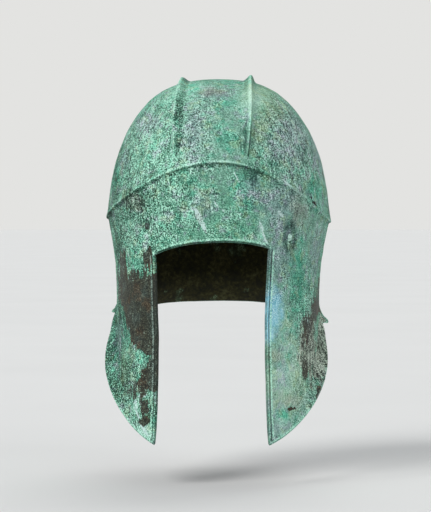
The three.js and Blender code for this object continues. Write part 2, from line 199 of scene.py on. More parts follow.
# Fineness of the outer and of the inner face
FINE = {
    "side": 80, "channel": 30, "rows": 190, "brow": 62, "wall": 27, "lower": 74,
    "cheek_run": 1.45, "neck_run": 2.2, "rim_step": 1, "border_step": 1,
}
COARSE = {
    "side": 34, "channel": 12, "rows": 84, "brow": 26, "wall": 9, "lower": 30,
    "cheek_run": 3.4, "neck_run": 5, "rim_step": 4, "border_step": 5,
}
SIDE_CORNER = math.radians(52)
TABLE_STEPS = 400
BORDER_STEPS = 90
BORDER_STEP_POWER = 1.5
HALVINGS = 36
ANGLE_STEP = 0.005
TINY = 1e-12
OUT_OF_REACH = 99

# Rounding of the open edge from the outer to the inner face, and its painted highlight along the lower edge
# and painted shade round the face opening
ROUND_TURNS = (45, 90, 135)
ROUND_PROUD = 0.8
LOWER_EDGE = 2
BORDER_EDGE_HIGHLIGHT = 0.8
OPENING_EDGE_SHADE = -0.5


# What the patina does in one place, by the side seen, as (across, up, half width, half height)
PATCHES = {
    "bare": {
        "front": [
            (-73, -150, 4, 14), (-50.5, -142, 4, 7), (-53.9, -260.5, 4.5, 6), (-54.5, -271, 6.5, 3.2),
            (72.5, -232, 3, 7), (83, -250, 2.5, 5), (62.4, -261.3, 3.6, 1.4),
        ],
        "left": [(-18, -77, 2.5, 6), (-13, -90, 2, 4)],
        "back": [(-52, -166, 16, 10)],
    },
    "azure": {
        "front": [(47.2, -183, 7.5, 18), (45.2, -200, 3.5, 9)],
    },
    "lilac": {
        "front": [
            (-72.7, -66.5, 5, 5), (-54, -36.3, 10, 7), (-15, -44, 6, 17), (1.6, -12.8, 12, 4),
            (61, -44.3, 20, 16), (58, -60.3, 14, 8), (53, -102.3, 16, 20), (33, -88.3, 8, 10),
            (-6.3, -102.3, 9, 9), (50, -143.3, 10, 20), (48, -257, 5, 8), (54, -233, 7, 9),
            (50, -276, 6, 6), (-79, -206, 4, 14),
        ],
        "left": [(-20, -60, 22, 14), (52, -92, 24, 16), (-40, -140, 14, 20)],
        "right": [(12, -50, 24, 12), (64, -84, 14, 22)],
        "back": [(30, -60, 18, 22), (-40, -100, 22, 14)],
        "top": [(4, 40, 14, 30), (60, 20, 12, 26)],
    },
    # Darker crust; the patch at (33, -76.3) is painted shadow under the step beside the wearer's left ridge
    "dark": {
        "front": [
            (-61, -100.3, 8, 9), (-83, -72, 9, 22), (-77, -127, 6, 25), (-78, -190, 8, 24),
            (-80, -222, 9, 17), (-73, -238, 8, 14), (33, -76.3, 5, 5),
        ],
        "left": [(10, -104, 20, 7)],
        "right": [(-30, -110, 22, 8), (70, -140, 12, 12)],
        "back": [(0, -112, 30, 6), (52, -164, 12, 10)],
    },
    "deep": {
        "front": [
            (10.3, -20.8, 6, 5), (-18, -7.3, 5, 5), (12, -48.3, 7, 9), (26, -91.3, 10, 13),
            (-62, -145.3, 7, 10), (-54.5, -221.3, 5, 5), (68, -160.3, 8, 30), (56, -265, 6, 5),
            (-77, -216, 8, 22),
        ],
        "left": [(-54, -92, 16, 12), (70, -50, 16, 16)],
        "right": [(-44, -76, 18, 12), (50, -160, 16, 8)],
        "back": [(-30, -40, 18, 12), (50, -128, 14, 8)],
        "top": [(14, -30, 10, 14), (-56, -20, 12, 22)],
    },
    "lime": {
        "front": [
            (45, -24.3, 11, 12), (37, -42.3, 5, 10), (28, -12.3, 6, 10), (46, -238, 3, 14),
            (64, -234, 5, 7), (56, -250, 9, 5),
        ],
        "left": [(24, -40, 18, 10), (-70, -236, 10, 18)],
        "right": [(-60, -230, 8, 14)],
        "back": [(60, -70, 14, 12)],
        "top": [(40, -40, 10, 20)],
    },
    "chalk": {
        "front": [
            (-53, -280, 9, 8), (29, -17, 11, 14), (6, -42.3, 24, 40), (72, -126.3, 26, 50),
            (62, -203.3, 22, 60), (60, -260.3, 22, 30),
        ],
        "left": [(20, -60, 50, 40)],
        "back": [(40, -90, 40, 40)],
        "right": [(50, -60, 34, 30)],
    },
    "tan": {
        "front": [
            (49, -219, 6, 5), (62, -255, 7, 5), (-62, -98, 8, 6), (68, -106, 6, 11), (-2, -11, 9, 3),
        ],
        "left": [(60, -130, 18, 10)],
        "right": [(20, -100, 14, 10)],
        "back": [(-20, -140, 16, 12)],
        "top": [(30, 60, 16, 14)],
    },
    "ash": {
        "front": [(81, -214, 11, 24)],
        "left": [(84, -150, 12, 14)],
        "back": [(46, -150, 16, 10)],
    },
    "coarse": {
        "front": [
            (-58, -46.3, 34, 52), (-66, -120.3, 26, 34), (-70, -240, 24, 40), (78, -212, 11, 42),
            (64, -48, 18, 30), (-79, -168, 5, 30),
        ],
        "right": [(0, -70, 60, 50)],
        "back": [(-50, -90, 40, 60)],
    },
    # Paler crust, and a painted highlight on the wearer's left ridge near the front of the crown, where the
    # ridge's painted shade is also taken away
    "pale": {
        "front": [
            (-42, -66.3, 18, 8), (-48, -56, 12, 9), (-41, -47, 11, 13), (-56, -250.8, 5, 2.5),
            (-61, -258, 3, 8), (-53, -279, 6, 6), (-69, -221, 2, 9), (29, -18, 8, 13),
            (56, -270.3, 7, 7), (56, -236, 14, 26), (39.5, -122, 2.5, 9),
        ],
        "left": [(40, -122, 20, 6)],
        "right": [(0, -84, 18, 12), (36, -130, 20, 8)],
        "back": [(-10, -84, 22, 10), (10, -178, 26, 6)],
        "top": [(-30, -50, 14, 18)],
    },
}

# Directions that run across, up and towards the eye for each side
SEEN_FROM = {
    "front": ((1, 0, 0), (0, 0, 1), (0, -1, 0)),
    "back": ((1, 0, 0), (0, 0, 1), (0, 1, 0)),
    "left": ((0, 1, 0), (0, 0, 1), (1, 0, 0)),
    "right": ((0, 1, 0), (0, 0, 1), (-1, 0, 0)),
    "top": ((1, 0, 0), (0, 1, 0), (0, 0, 1)),
}
SEEN_FADE = (0.05, 0.3)

# Scratches through the crust and slits in it, as (x, z) at both ends, and the half width
SCRATCHES = [
    ((-12, -104), (-3.6, -122.5), 1.9),
    ((-11.8, -105), (-10.5, -112), 1.3),
    ((2.2, -97.8), (5.6, -103), 0.6),
    ((8.6, -103.6), (10.4, -106.5), 0.5),
    ((18, -75.9), (22, -83.8), 0.6),
    ((37.6, -114), (40, -122), 1.1),
    ((39, -120), (44, -133), 0.7),
    ((52, -105.5), (55.5, -110.5), 1.3),
    ((55, -81), (62, -86.8), 0.7),
    ((-58.5, -251.8), (-51.5, -249.8), 1.5),
    ((-61.5, -255), (-59.5, -264), 0.6),
    ((-57.5, -272.5), (-50.5, -282), 1.2),
    ((-63, -259), (-56, -273), 0.8),
]
SLITS = [
    ((78, -97.5), (81, -101.5), 0.9),
    ((76.5, -94.5), (77.5, -96), 0.8),
]
LINE_RAGGEDNESS = 1.6
LINE_END_SHARE = 0.3
LINE_SWELL = 2.8
LINE_BACK = (-8, 0)

# Bare bronze down the cheek pieces, as (up, from, to) seen from the front
BARE_BANDS = [
    [
        (-153, -80, -36), (-164, -80, -36), (-176, -77, -36), (-186, -72, -36), (-198, -68, -36),
        (-208, -66, -36), (-213, -61, -36), (-216, -54, -36), (-219.5, -48, -36), (-224, -49, -36),
        (-232, -55, -36), (-240, -61, -37), (-245, -66, -40), (-249, -68, -49), (-252, -67, -58),
    ],
    [
        (-154, 84, 92), (-164, 82, 92), (-174, 79.5, 91), (-187, 75, 86), (-193, 71.5, 80),
        (-204, 70.5, 76), (-212, 71.5, 74),
    ],
]
BAND_SOFTNESS = 6
BAND_END_SOFTNESS = 14
BAND_BACK = (-5, 15)

# What the form of the outer face tells the patina at each point: heights of the ridges, and where painted
# highlights and shade go on the ridge flanks, along the lip, under it and beside the edges
FORM_VALUES = ("crest", "flank", "lip", "shelter", "lines")

# Noise of the patina, as (size in millimetres, detail, roughness, shift)
PATINA_NOISE = {
    "fine": (0.95, 2, 0.7, 3),
    "grain": (3.0, 4, 0.62, 11),
    "clump": (6.5, 4, 0.6, 17),
    "blotch": (13, 3, 0.5, 23),
    "ragged": (7, 5, 0.62, 41),
    "shade": (17, 3, 0.5, 53),
    "mauve": (6, 2, 0.55, 61),
    "ochre": (7.5, 2, 0.55, 67),
}

# How far a shift moves noise along each axis
CLOUD_SHIFT = (1, 1.7, 0.6)

# How strongly noise shows in the crust: always, more where it is rough, and more where it is coarse
CRUST_WEIGHTS = {
    "fine": (1.2, 1.4, 2.4),
    "strokes": (0.2, 0.6, 0.5),
    "grain": (0.1, 0.25, 0.3),
    "clump": (0.25, 0, 0.3),
    "blotch": (0.3, 0, 0.5),
    "ragged": (0, 0, 0.25),
}

# Strokes of the crust that run down from the crown
STROKE_WIDTH = 1.9
STROKE_RADIUS = 85
STROKE_SQUEEZE = 0.82
STROKE_STRETCH = 0.2
STROKE_FADE = (20, 60)

# Floor, a broad disc below the points of the cheek pieces
FLOOR_SIDES = 64
FLOOR_RADII = [1, 400, 1500, 6000, 30000]
FLOOR = -322
BACKDROP_CLOUD = 300
BACKDROP_GRAIN = 40

# Lamps, as (name, direction that they shine from, width in degrees, strength), and the light all round
LAMPS = [
    ("key", (-1.1, -1.3, 1.2), 28, 2.1),
    ("fill", (1.4, -1.1, 0.4), 50, 0.85),
    ("top", (0.3, 1.1, 1.5), 40, 0.8),
]
ROUND_LIGHT = (0.86, 0.9, 0.95, 1)
ROUND_LIGHT_STRENGTH = 0.4


def share(value, low, high):
    return np.clip((value - low) / (high - low), 0, 1)


def smooth(s):
    return s * s * (3 - 2 * s)


def mix(low, high, s):
    return low + (high - low) * s


def signed_power(value, power):
    return np.sign(value) * np.abs(value) ** power


def profile_at(profile, distance):
    places, heights = zip(*profile)
    return np.interp(distance, places, heights)


def unit(vectors):
    return vectors / np.maximum(np.linalg.norm(vectors, axis=-1, keepdims=True), TINY)


# Shape of the sheet

def plan_point(angle, half_width, front, back, power):
    """A point of a plan. Its angle is 0 at the front and a quarter turn at the wearer's left."""
    reach = np.where(np.cos(angle) > 0, front, back)
    x = half_width * signed_power(np.sin(angle), 2 / power)
    return x, -reach * signed_power(np.cos(angle), 2 / power)


def step_depth(angle):
    across = np.sin(angle)
    lean = STEP_LEAN * across ** 3
    top_at = STEP_TOP_OFFSET / DOME_HALF_WIDTH
    fall = np.abs(across - top_at) / np.where(across > top_at, 1 - top_at, 1 + top_at)
    front = mix(STEP_DEPTH_FRONT, STEP_DEPTH_TEMPLE, fall ** STEP_ARCH_POWER)
    back = mix(DOME_DEPTH, STEP_DEPTH_TEMPLE, across ** 2)
    return np.where(np.cos(angle) < 0, back, front) + lean


def dome_share_at(depth):
    lift = np.maximum(0, 1 - depth / DOME_DEPTH)
    return (1 - lift * lift) ** (1 / DOME_PROFILE_POWER)


def dome_point(angle, out_share):
    lift = np.sqrt(np.maximum(0, 1 - out_share ** DOME_PROFILE_POWER))
    x, y = plan_point(angle, DOME_HALF_WIDTH, DOME_FRONT, DOME_BACK, DOME_PLAN_POWER)
    return np.stack([x * out_share, y * out_share, SHEET - DOME_DEPTH * (1 - lift)], -1)


def wall_point(angle, depth):
    top = step_depth(angle)
    rim = dome_point(angle, dome_share_at(top))
    x, y = plan_point(angle, WAIST_HALF_WIDTH, WAIST_FRONT, WAIST_BACK, WAIST_PLAN_POWER)
    ease = 1 - (1 - share(depth, top, WAIST_DEPTH)) ** WALL_EASE_POWER
    return np.stack([mix(rim[..., 0], x, ease), mix(rim[..., 1], y, ease), SHEET - depth + 0 * x], -1)


def opening_half(depth):
    down = share(depth, BROW_CORNER_DEPTH, TIP_DEPTH)
    return OPENING_HALF_WIDTH + OPENING_SPREAD * (2 * down - 1) ** 2


def opening_angle(depth):
    """The plan angle at which the wall reaches the edge of the face opening, found by halving."""
    depth = np.asarray(depth, float)
    low = np.zeros_like(depth)
    high = np.full_like(depth, math.pi / 2)
    for _ in range(HALVINGS):
        middle = (low + high) / 2
        inside = wall_point(middle, depth)[..., 0] < opening_half(depth)
        low = np.where(inside, middle, low)
        high = np.where(inside, high, middle)
    return (low + high) / 2


def waist_reach(angle):
    return -plan_point(angle, WAIST_HALF_WIDTH, WAIST_FRONT, WAIST_BACK, WAIST_PLAN_POWER)[1]


CORNER_ANGLE = float(opening_angle(BROW_CORNER_DEPTH))
EAR_ANGLE = math.acos((EAR_FORWARD / WAIST_FRONT) ** (WAIST_PLAN_POWER / 2))
TIP_FORWARD = float(waist_reach(opening_angle(TIP_DEPTH)))


def border_depth(angle, left):
    """How far below the crown the lower edge lies, for angles from the front, on one side."""
    ear = np.where(left, EAR_DEPTH_LEFT, EAR_DEPTH_RIGHT)
    neck = mix(ear, NECK_DEPTH, smooth(share(angle, EAR_ANGLE, math.pi)))
    forward = share(waist_reach(angle), EAR_FORWARD, TIP_FORWARD)
    cheek = mix(ear, TIP_DEPTH, forward ** CHEEK_CURVE_POWER)
    return np.where(angle > EAR_ANGLE, neck, cheek)


def lay_border(left):
    """The lower edge laid out flat, as (plan angle, distance round the waist, depth)."""
    angle = mix(CORNER_ANGLE, math.pi, np.linspace(0, 1, BORDER_STEPS) ** BORDER_STEP_POWER)
    steps = np.diff(wall_point(angle, WAIST_DEPTH), axis=0)
    run = np.concatenate([[0], np.cumsum(np.linalg.norm(steps, axis=1))])
    return angle, run, border_depth(angle, left)


BORDERS = {True: lay_border(True), False: lay_border(False)}


def border_near(angle, depth, left):
    """The distance to the nearest point of the lower edge, and the plan angle that it lies at."""
    angles, runs, depths = BORDERS[left]
    here = np.stack([np.interp(angle, angles, runs), depth], -1)[:, None]
    start = np.stack([runs[:-1], depths[:-1]], -1)
    along = np.stack([np.diff(runs), np.diff(depths)], -1)
    part = np.clip(((here - start) * along).sum(-1) / (along ** 2).sum(-1), 0, 1)
    gap = np.linalg.norm(start + along * part[..., None] - here, axis=-1)
    best = gap.argmin(1)
    row = np.arange(len(best))
    return gap[row, best], mix(angles[best], angles[best + 1], part[row, best])


def turned_out(angle, depth, left):
    """How far the lower edge turns outwards, and the distance to it."""
    gap, at = border_near(np.maximum(angle, CORNER_ANGLE), depth, left)
    ear_flare = EAR_FLARE_LEFT if left else EAR_FLARE_RIGHT
    ear_depth = EAR_DEPTH_LEFT if left else EAR_DEPTH_RIGHT
    cheek_flare = CHEEK_FLARE_LEFT if left else CHEEK_FLARE_RIGHT
    back = smooth(share(at, EAR_ANGLE, math.pi))
    down = share(border_depth(at, left), ear_depth, TIP_DEPTH)
    rise = smooth(share(down, 0, CHEEK_FLARE_PEAK_SHARE))
    fall = smooth(share(down, CHEEK_FLARE_PEAK_SHARE, 1))
    cheek = mix(mix(ear_flare, cheek_flare, rise), TIP_FLARE, fall)
    full = np.where(at > EAR_ANGLE, mix(ear_flare, NECK_FLARE, back), cheek)
    width = mix(CHEEK_FLARE_WIDTH, NECK_FLARE_WIDTH, back)
    return full * (1 - share(gap, 0, width)) ** 2, gap


def shell_point(angle, depth):
    """A point on the wall with its turned-out edge, and the distance to that edge."""
    angle, depth = np.broadcast_arrays(angle, depth)
    point = wall_point(angle, depth)
    travel = wall_point(angle + ANGLE_STEP, depth) - point
    outward = unit(np.stack([travel[..., 1], -travel[..., 0], 0 * depth], -1))
    reach = np.zeros(angle.shape)
    gap = np.zeros(angle.shape)
    for left in (True, False):
        mine = (angle >= 0) == left
        reach[mine], gap[mine] = turned_out(np.abs(angle[mine]), depth[mine], left)
    return point + outward * reach[..., None], gap


# The dome laid out on a disc, with the step as its rim

def walk_table():
    out = np.sin(np.linspace(0, math.pi / 2, TABLE_STEPS))
    radius = out * (DOME_HALF_WIDTH + DOME_FRONT) / 2
    drop = DOME_DEPTH * (1 - np.sqrt(np.maximum(0, 1 - out ** DOME_PROFILE_POWER)))
    walked = np.concatenate([[0], np.cumsum(np.hypot(np.diff(radius), np.diff(drop)))])
    return out, walked


WALK_OUT, WALK_RUN = walk_table()


def walk_to_step(angle):
    """The distance walked from the crown down to the step."""
    return np.interp(dome_share_at(step_depth(angle)), WALK_OUT, WALK_RUN)


def dome_at(disc):
    """A point of the dome. On the disc, angle is plan angle and radius is the share walked down."""
    angle = np.arctan2(disc[..., 0], -disc[..., 1])
    out = np.interp(np.linalg.norm(disc, axis=-1) * walk_to_step(angle), WALK_RUN, WALK_OUT)
    return dome_point(angle, out)


def disc_at(x, y):
    """Where a point of the plan lies on the disc."""
    reach = np.where(y < 0, DOME_FRONT, DOME_BACK)
    across = np.abs(x / DOME_HALF_WIDTH)
    along = np.abs(y / reach)
    out = (across ** DOME_PLAN_POWER + along ** DOME_PLAN_POWER) ** (1 / DOME_PLAN_POWER)
    out = np.maximum(out, TINY)
    angle = np.arctan2(
        signed_power(x / DOME_HALF_WIDTH / out, DOME_PLAN_POWER / 2),
        -signed_power(y / reach / out, DOME_PLAN_POWER / 2),
    )
    radius = np.interp(np.minimum(out, 1), WALK_OUT, WALK_RUN) / walk_to_step(angle)
    radius = np.where(out > 1, 2, radius)
    return np.stack([radius * np.sin(angle), -radius * np.cos(angle)], -1)


def ridge_end(x, depth, reach):
    outer = dome_share_at(depth) ** DOME_PLAN_POWER
    inner = abs(x / DOME_HALF_WIDTH) ** DOME_PLAN_POWER
    return reach * (outer - inner) ** (1 / DOME_PLAN_POWER)


class Ridge:
    """The crest and feet of one ridge, by its place from front to back."""

    def __init__(self, offset, drift, height, painted_shade):
        self.offset = offset
        self.drift = drift
        self.height = height
        # Painted shade and highlight across the ridge's flanks
        self.painted_shade = painted_shade
        self.front = ridge_end(offset + drift, RIDGE_FRONT_DEPTH, DOME_FRONT)
        self.back = ridge_end(offset - drift, RIDGE_BACK_DEPTH, DOME_BACK)

    def turn(self, y):
        return np.clip(np.where(y < 0, y / self.front, y / self.back), -1, 1)

    def swell(self, y):
        return mix(RIDGE_END_SHARE, 1, np.sqrt(1 - self.turn(y) ** RIDGE_SWELL_POWER))

    def line(self, y, column):
        """The distance across of a column, from -1 at one foot of the ridge to 1 at the other."""
        turn = self.turn(y)
        lean = math.copysign(RIDGE_LEAN, self.offset) * np.sin(math.pi * np.abs(turn) ** RIDGE_LEAN_POWER)
        crest = self.offset - self.drift * turn + lean * (1 - abs(column))
        return crest + column * RIDGE_HALF_WIDTH * self.swell(y)


RIDGES = [
    Ridge(RIDGE_OFFSET_RIGHT, RIDGE_DRIFT_RIGHT, RIDGE_HEIGHT_RIGHT, RIDGE_PAINTED_SHADE_RIGHT),
    Ridge(RIDGE_OFFSET_LEFT, RIDGE_DRIFT_LEFT, RIDGE_HEIGHT_LEFT, RIDGE_PAINTED_SHADE_LEFT),
]


def rim_to_rim(line, rows):
    """Evenly walked points, on the disc, of a line that crosses the dome from front to back."""
    turn = np.linspace(0, math.pi, TABLE_STEPS)
    y = np.where(turn < math.pi / 2, -DOME_FRONT, -DOME_BACK) * np.cos(turn)
    x = line(y)
    disc = disc_at(x, y)
    radius = np.linalg.norm(disc, axis=-1)
    inside = np.flatnonzero(radius <= 1)
    first, last = inside[0], inside[-1]
    front = np.interp(1, [radius[first], radius[first - 1]], [y[first], y[first - 1]])
    back = np.interp(1, [radius[last], radius[last + 1]], [y[last], y[last + 1]])
    y = np.concatenate([[front], y[first:last + 1], [back]])
    walked = np.linalg.norm(np.diff(dome_at(disc_at(line(y), y)), axis=0), axis=1)
    run = np.concatenate([[0], np.cumsum(walked)])
    y = np.interp(np.linspace(0, run[-1], rows + 1), run, y)
    disc = disc_at(line(y), y)
    disc[[0, -1]] = unit(disc[[0, -1]])
    return disc, y


def side_patch(rim, foot, columns):
    """The part of the disc between the side of the rim and the foot of a ridge."""
    part = np.linspace(0, 1, columns + 1)
    down = np.linspace(0, 1, len(rim))[:, None, None]
    across = part[None, :, None]

    def arc(start, end):
        angle = np.unwrap([math.atan2(start[0], -start[1]), math.atan2(end[0], -end[1])])
        angle = mix(angle[0], angle[1], part)
        return np.stack([np.sin(angle), -np.cos(angle)], -1)

    front = arc(rim[0], foot[0])[None]
    back = arc(rim[-1], foot[-1])[None]
    ends = mix(front, back, down) + mix(rim[:, None], foot[:, None], across)
    corners = mix(mix(rim[0], foot[0], across), mix(rim[-1], foot[-1], across), down)
    return ends - corners


def dome_grid(fine):
    """Rows of disc points from front to back, with the height of the ridges at each."""
    rows = fine["rows"]
    parts = []
    for ridge in RIDGES:
        column = [rim_to_rim(lambda y, c=c: ridge.line(y, c), rows) for c in RIDGE_COLUMN_SHARES]
        disc = np.stack([d for d, _ in column], 1)
        y = np.stack([y for _, y in column], 1)
        parts.append((disc, y))
    right, left = parts[0][0], parts[1][0]
    channel = []
    for s in np.linspace(0, 1, fine["channel"] + 1)[1:-1]:
        line = lambda y, s=s: mix(RIDGES[0].line(y, 1), RIDGES[1].line(y, -1), s)
        channel.append(rim_to_rim(line, rows)[0])
    turn = np.linspace(SIDE_CORNER, math.pi - SIDE_CORNER, rows + 1)
    rim = np.stack([np.sin(turn), -np.cos(turn)], -1)
    right_side = side_patch(rim * [-1, 1], right[:, 0], fine["side"])
    left_side = side_patch(rim, left[:, -1], fine["side"])
    disc = np.concatenate(
        [right_side[:, :-1], right, np.stack(channel, 1), left, left_side[:, -2::-1]], 1)
    crest = np.zeros(disc.shape[:2])
    flank = np.zeros(disc.shape[:2])
    start = fine["side"]
    for ridge, (_, y) in zip(RIDGES, parts):
        columns = slice(start, start + len(RIDGE_COLUMN_SHARES))
        wide = np.abs(RIDGE_COLUMN_SHARES)[None]
        room = np.minimum(ridge.front + y, ridge.back - y)
        ends = smooth(share(room, 0, RIDGE_NOSE))
        crest[:, columns] = ridge.height * ridge.swell(y) * ends * profile_at(RIDGE_PROFILE_SHARES, wide)
        # Painted shade and highlight across each ridge
        flank[:, columns] = ends * np.interp(RIDGE_COLUMN_SHARES, *zip(*ridge.painted_shade))[None]
        start += len(RIDGE_COLUMN_SHARES) + fine["channel"] - 1
    return disc, crest, flank


class SheetMesh:
    """Points with named values, and the faces over them."""

    def __init__(self):
        self.points = []
        self.values = {}
        self.faces = []
        self.count = 0

    def add(self, points, **values):
        """Adds an array of points and gives back their numbers in the same layout."""
        shape = points.shape[:-1]
        size = int(np.prod(shape))
        self.points.append(points.reshape(-1, 3))
        for name in set(values) | set(self.values):
            given = np.broadcast_to(values.get(name, 0), shape).reshape(-1)
            self.values.setdefault(name, [np.zeros(self.count)] if self.count else []).append(given)
        self.count += size
        return np.arange(self.count - size, self.count).reshape(shape)

    def quads(self, grid):
        """Faces over a grid whose rows run downwards and columns run to the wearer's left."""
        corners = [grid[:-1, :-1], grid[1:, :-1], grid[1:, 1:], grid[:-1, 1:]]
        self.faces.extend(np.stack(corners, -1).reshape(-1, 4).tolist())

    def zip_rows(self, upper, upper_at, lower, lower_at):
        """Three-sided faces between two rows with different numbers of points."""
        i = j = 0
        while i + 1 < len(upper) or j + 1 < len(lower):
            ahead = j + 1 == len(lower) or (i + 1 < len(upper) and upper_at[i + 1] <= lower_at[j + 1])
            if ahead:
                self.faces.append([int(upper[i]), int(lower[j]), int(upper[i + 1])])
                i += 1
            else:
                self.faces.append([int(upper[i]), int(lower[j]), int(lower[j + 1])])
                j += 1

    def all_points(self):
        return np.concatenate(self.points)

    def value(self, name):
        return np.concatenate(self.values[name])

    def normals(self):
        points = self.all_points()
        found = np.zeros_like(points)
        for size in (3, 4):
            faces = np.array([f for f in self.faces if len(f) == size])
            if not len(faces):
                continue
            corner = points[faces]
            other = corner[:, -1] - corner[:, 1]
            normal = np.cross(corner[:, 2] - corner[:, 0], other) if size == 4 else np.cross(
                corner[:, 1] - corner[:, 0], corner[:, 2] - corner[:, 0])
            for k in range(size):
                np.add.at(found, faces[:, k], normal)
        return unit(found)


def side_runs(fine):
    """Distances from the face opening round to the middle of the back, and their plan angles."""
    angles, runs, _ = BORDERS[True]
    ear = np.interp(EAR_ANGLE, angles, runs)
    rim_end = RIM_COLUMNS[-1]
    rims = RIM_COLUMNS[::fine["rim_step"]]
    cheek = np.linspace(rim_end, ear, int((ear - rim_end) / fine["cheek_run"]) + 1)[1:]
    neck = np.linspace(ear, runs[-1], int((runs[-1] - ear) / fine["neck_run"]) + 1)[1:]
    return np.interp(np.concatenate([rims, cheek, neck]), runs, angles)


def brow_rise(angle):
    """How far the top of the opening is raised on the wearer's left, fading out towards the back."""
    across = share(np.abs(angle), 0, CORNER_ANGLE)
    return BROW_TILT * np.sign(angle) * across * (1 - share(np.abs(angle), CORNER_ANGLE, math.pi))


def lip_light_strength(points):
    """How strongly the painted highlight on the lip and the painted shade under it show: fully, but less on
    the wearer's left of the forehead, where crust blurs the step.
    """
    left = smooth(share(points[..., 0], LIP_BLURRED_FROM, LIP_BLURRED_TO))
    back = smooth(share(points[..., 1], LIP_CRISP_FROM, LIP_CRISP_TO))
    return 1 - LIP_BLUR * left * (1 - back)


def all_round(grid):
    """The outermost row of a grid, once round."""
    return np.concatenate([grid[0], grid[1:, -1], grid[-1, -2::-1], grid[-2:0:-1, 0]])


def add_dome(sheet, fine):
    """The dome down to the step. Gives the points of its edge, and their plan angles."""
    disc, crest, flank = dome_grid(fine)
    points = dome_at(disc)
    angle = np.arctan2(disc[..., 0], -disc[..., 1])
    above = np.linalg.norm(points - dome_point(angle, dome_share_at(step_depth(angle))), axis=-1)
    raise_by = crest + LIP_REACH * (1 - share(above, 0, LIP_FADE)) ** 2
    # Painted highlight along the lip of the step
    lip = (1 - share(above, 0, LIP_HIGHLIGHT_WIDTH)) * lip_light_strength(points)
    dome = sheet.add(points, raise_by=raise_by, crest=crest, flank=flank, lip=lip)
    sheet.quads(dome[::-1])
    where = np.mod(all_round(angle) + math.pi, 2 * math.pi) - math.pi
    start = int(where.argmin())
    return np.roll(all_round(dome), -start), np.roll(where, -start)


def add_lip(sheet, loop, where):
    """The lip of the step, which rolls under from the edge of the dome. Gives its last row."""
    rows = [loop]
    for down, out in LIP_ROLL_SHARES:
        under, _ = shell_point(where, step_depth(where) + down * LIP_HEIGHT)
        # Painted shade under the lip
        shelter = down * lip_light_strength(under)
        rows.append(sheet.add(under, raise_by=LIP_REACH * out, shelter=shelter))
    sheet.quads(np.stack([np.append(row, row[0]) for row in rows]))
    return rows[-1]


def add_wall(sheet, fine, side):
    """The wall all round, from the step down to the height of the brow's lower edge."""
    brow = np.linspace(-CORNER_ANGLE, CORNER_ANGLE, fine["brow"] + 1)[1:-1]
    ring = np.concatenate([-side[::-1], brow, side])
    top = step_depth(ring) + LIP_HEIGHT + LIP_FOOT
    across = share(np.abs(ring), 0, CORNER_ANGLE)
    bottom = mix(BROW_DEPTH, BROW_CORNER_DEPTH, across ** 2) - brow_rise(ring)
    rims = RIM_COLUMNS[::fine["rim_step"]]
    depths = [mix(top, bottom - rims[-1], s) for s in np.linspace(0, 1, fine["wall"])]
    depths = np.stack(depths + [bottom - r for r in rims[-2::-1]])
    points, _ = shell_point(ring[None] + 0 * depths, depths)
    beside = np.maximum(0, np.abs(points[..., 0]) - OPENING_HALF_WIDTH)
    behind = share(np.abs(ring), EAR_ANGLE * RIM_FADE_SHARE, EAR_ANGLE)
    from_edge = np.hypot(beside, bottom - depths) + behind * OUT_OF_REACH
    # Painted shade just under the lip
    shelter = (1 - share(depths - top, 0, LIP_SHADOW_HEIGHT)) * lip_light_strength(points) * LIP_SHADOW_DARK
    # Painted highlights and shadows beside the edge of the opening
    lines = np.where(beside > 0, profile_at(RIM_PAINTED_LIGHT, from_edge), profile_at(BROW_PAINTED_LIGHT, from_edge))
    wall = sheet.add(points, raise_by=profile_at(RIM_PROFILE, from_edge), shelter=shelter, lines=lines)
    wall[:, -1] = wall[:, 0]
    sheet.quads(wall)
    return ring, wall


def add_lower_half(sheet, fine, side, left):
    """The cheek piece and the neck guard of one side, from the face opening to the back."""
    edge_depth = border_depth(side, left)
    corner_depth = BROW_CORNER_DEPTH - brow_rise(side if left else -side)
    part = np.linspace(0, 1, fine["lower"])[1:]
    rows = [mix(corner_depth, edge_depth - BORDER_ROWS[0], s) for s in part]
    rows += [edge_depth - r for r in BORDER_ROWS[::fine["border_step"]][1:]]
    depths = np.stack(rows)
    turned = mix(opening_angle(depths), math.pi, share(side, CORNER_ANGLE, math.pi))
    points, gap = shell_point(turned if left else -turned, depths)
    from_open = np.maximum(0, np.abs(points[..., 0]) - opening_half(depths))
    from_open = np.where(turned > EAR_ANGLE, OUT_OF_REACH, from_open)
    at_border = gap < from_open
    relief = np.where(at_border, profile_at(BORDER_PROFILE, gap), profile_at(RIM_PROFILE, from_open))
    # Painted highlights and shadows beside the lower edge and the face opening
    lines = np.where(at_border, profile_at(BORDER_PAINTED_LIGHT, gap), profile_at(RIM_PAINTED_LIGHT, from_open))
    return sheet.add(points, raise_by=relief, lines=lines)


